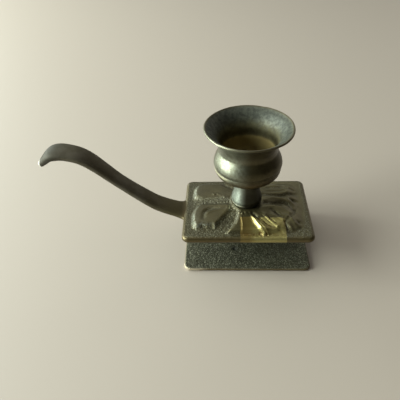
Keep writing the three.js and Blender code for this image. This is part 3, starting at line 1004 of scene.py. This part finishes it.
def handle_colors(n):
    """The handle's colour along its length, and where its worn tip carries a painted highlight."""
    strap_dark, strap_pale = (0.087, 0.075, 0.049), (0.118, 0.105, 0.076)
    root_brown, scroll_dark, tip_highlight = (0.084, 0.068, 0.03), (0.03, 0.028, 0.02), (0.6, 0.58, 0.5)
    color = n.mix(n.ramp(n.noise(5, 4, 0.65), 0.35, 0.65), strap_dark, strap_pale)
    color = n.mix(n.ramp(n.axis("X"), -50 * MM, -30 * MM, 0, 0.8), color, root_brown)
    color = n.mix(n.ramp(n.axis("X"), -82 * MM, -72 * MM, 0.75, 0), color, scroll_dark)
    # Painted highlight: a bright spot on the worn tip of the handle.
    tip = n.ramp(n.axis("X"), -87.5 * MM, -86.7 * MM, 1, 0)
    return n.mix(tip, color, tip_highlight), tip


def bare_brass(n):
    """The yellow metal of the cleaned patch: browner in hollows and on the left, with pale mottling."""
    yellow, hollow_brown = (0.32, 0.27, 0.09), (0.13, 0.08, 0.015)
    pale, left_brown = (0.4, 0.35, 0.15), (0.15, 0.09, 0.02)
    color = n.mix(n.ramp(n.mask("hollow_and_shade"), 0.5, 0.8), yellow, hollow_brown)
    color = n.mix(n.ramp(n.noise(0.8, 3, 0.6), 0.45, 0.62, 0, 0.5), color, pale)
    return n.mix(n.ramp(n.axis("X"), 0, 4 * MM, 0.7, 0), color, left_brown)


def cleaned_patch(n):
    """1 on the sharp-edged patch on the tray's front where the tarnish has been taken off."""
    left, right, back, below = -3.2 * MM, 16 * MM, -10.2 * MM, (TRAY_BOTTOM + 0.7) * MM
    edge, lower_edge = 0.12 * MM, 0.1 * MM
    wobble = n.product(n.math("SUBTRACT", n.noise(1.5), 0.5), 0.5 * MM)
    x = n.math("ADD", n.axis("X"), wobble)
    y = n.math("ADD", n.axis("Y"), wobble)
    from_left = n.ramp(x, left - edge, left + edge)
    to_right = n.ramp(x, right - edge, right + edge, 1, 0)
    to_back = n.ramp(y, back - edge, back + edge, 1, 0)
    above = n.ramp(n.axis("Z"), below - lower_edge, below + lower_edge)
    return n.product(n.product(from_left, to_right), n.product(to_back, above))


def plate_material():
    """Greyer cast brass for the bottom plate and the spine, with a painted highlight on the worn front-left
    corner and a casting pit.
    """
    light, dark = (0.105, 0.105, 0.06), (0.055, 0.053, 0.028)
    speck, rim = (0.38, 0.38, 0.26), (0.15, 0.11, 0.05)
    corner_highlight, pit_black = (0.6, 0.52, 0.36), (0.015, 0.015, 0.01)
    n, color, roughness, normal = cast_material("plate_brass", light, dark, speck, rim)
    # Painted highlight on the worn rim of the front-left corner.
    leftmost = n.ramp(n.axis("X"), -25 * MM, -16 * MM, 0.9, 0)
    foremost = n.ramp(n.axis("Y"), -18 * MM, -15 * MM, 1, 0)
    corner = n.product(leftmost, foremost)
    color = n.mix(n.product(n.mask("rim"), corner), color, corner_highlight)
    color = n.mix(n.mask("pit"), color, pit_black)
    return n.finish(color, roughness, 0.5, normal)


def screw_material():
    """Plain yellow brass, hardly tarnished because it is hidden."""
    yellow, brown = (0.5, 0.42, 0.24), (0.3, 0.25, 0.14)
    n, color, roughness, normal = tarnished_brass("screw_brass", yellow, brown, 0.3, 0.42, 0.01)
    return n.finish(color, roughness, 1.0, normal)


# ---------------------------------------------------------------- assembly
def put(piece, material, node):
    """Gives a piece its material, and lets it stand for a CAD node on the one body."""
    piece.data.materials.clear()
    piece.data.materials.append(material)
    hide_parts(node)
    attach(piece, "root")


def build():
    """Makes every piece and puts it in the place of its CAD node."""
    plate_brass = plate_material()
    screw_brass = screw_material()
    put(candle_cup(), cup_material(), "candle_cup")
    put(stem_collar(), collar_material(), "stem_collar")
    put(top_tray(), tray_material(), "top_tray")
    put(bottom_plate(), plate_brass, "bottom_plate")
    put(rear_spine(), plate_brass, "rear_spine")
    screws = [
        ("centre_screw", 0, 0, CENTRE_SCREW),
        ("clamp_screw_left", CLAMP_X[0], CLAMP_Y, CLAMP_SCREW),
        ("clamp_screw_right", CLAMP_X[1], CLAMP_Y, CLAMP_SCREW),
    ]
    for node, x, y, sizes in screws:
        put(screw(node + "_body", node, x, y, *sizes), screw_brass, node)


# ---------------------------------------------------------------- floor, light and camera
def floor():
    """A plain pale floor at the object's lowest point."""
    half = 3000
    corners = [(-half, -half, 0), (half, -half, 0), (half, half, 0), (-half, half, 0)]
    piece = add_mesh("floor", corners, [(0, 1, 2, 3)])
    n = Nodes("pale_floor")
    piece.data.materials.append(n.finish((0.4, 0.345, 0.285), 0.6, 0.0))
    piece.location.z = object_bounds()[0].z
    piece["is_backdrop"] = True


def area_light(name, place, size, power, color):
    """A rectangular lamp aimed at the middle of the object."""
    data = bpy.data.lights.new(name, "AREA")
    data.shape = "RECTANGLE"
    data.size, data.size_y = size
    data.energy = power
    data.color = color
    lamp = bpy.data.objects.new(name, data)
    lamp.location = place
    middle = Vector((0, 0, 0.03))
    lamp.rotation_euler = (middle - Vector(place)).to_track_quat("-Z", "Y").to_euler()
    bpy.context.scene.collection.objects.link(lamp)


def lights():
    """A large soft window on the left, a second one further back, and three weak soft fills."""
    daylight, warm_white, pale_green = (0.88, 0.98, 0.95), (1.0, 0.98, 0.93), (0.97, 1.0, 0.9)
    area_light("window", (-0.9, -0.14, 0.33), (0.75, 0.68), 28.0, daylight)
    area_light("side_window", (-0.78, 0.45, 0.3), (0.7, 0.5), 7.0, daylight)
    area_light("overhead", (-0.2, 0.2, 1.2), (1.5, 1.5), 4.5, warm_white)
    area_light("back", (-0.2, 1.7, 1.2), (2.2, 1.1), 6.0, pale_green)
    area_light("right_fill", (0.9, 0.9, 0.45), (1.0, 0.8), 1.5, (1.0, 0.96, 0.88))
    world = bpy.data.worlds.new("studio")
    world.use_nodes = True
    background = world.node_tree.nodes["Background"]
    background.inputs["Color"].default_value = (0.045, 0.043, 0.037, 1)
    background.inputs["Strength"].default_value = 1.0
    bpy.context.scene.world = world
    bpy.context.scene.view_settings.view_transform = "Standard"


def camera():
    """Looks down at about 40 degrees, a little from the left, with the small roll of a hand-held shot."""
    place = Vector((-0.0097, -0.1445, 0.1442))
    pitch, yaw, roll = math.radians(39.56), math.radians(4.34), math.radians(-3.15)
    ahead = Vector((-math.sin(yaw) * math.cos(pitch), math.cos(yaw) * math.cos(pitch), -math.sin(pitch)))
    level = Vector((math.cos(yaw), math.sin(yaw), 0))
    right = math.cos(roll) * level + math.sin(roll) * level.cross(ahead)
    up = right.cross(ahead)
    data = bpy.data.cameras.new("camera")
    data.sensor_width = 36
    data.lens = 37.8
    data.clip_start = 0.01
    view = bpy.data.objects.new("camera", data)
    view.matrix_world = Matrix.Translation(place) @ Matrix((right, up, -ahead)).transposed().to_4x4()
    bpy.context.scene.collection.objects.link(view)
    bpy.context.scene.camera = view


camera()
build()
floor()
lights()
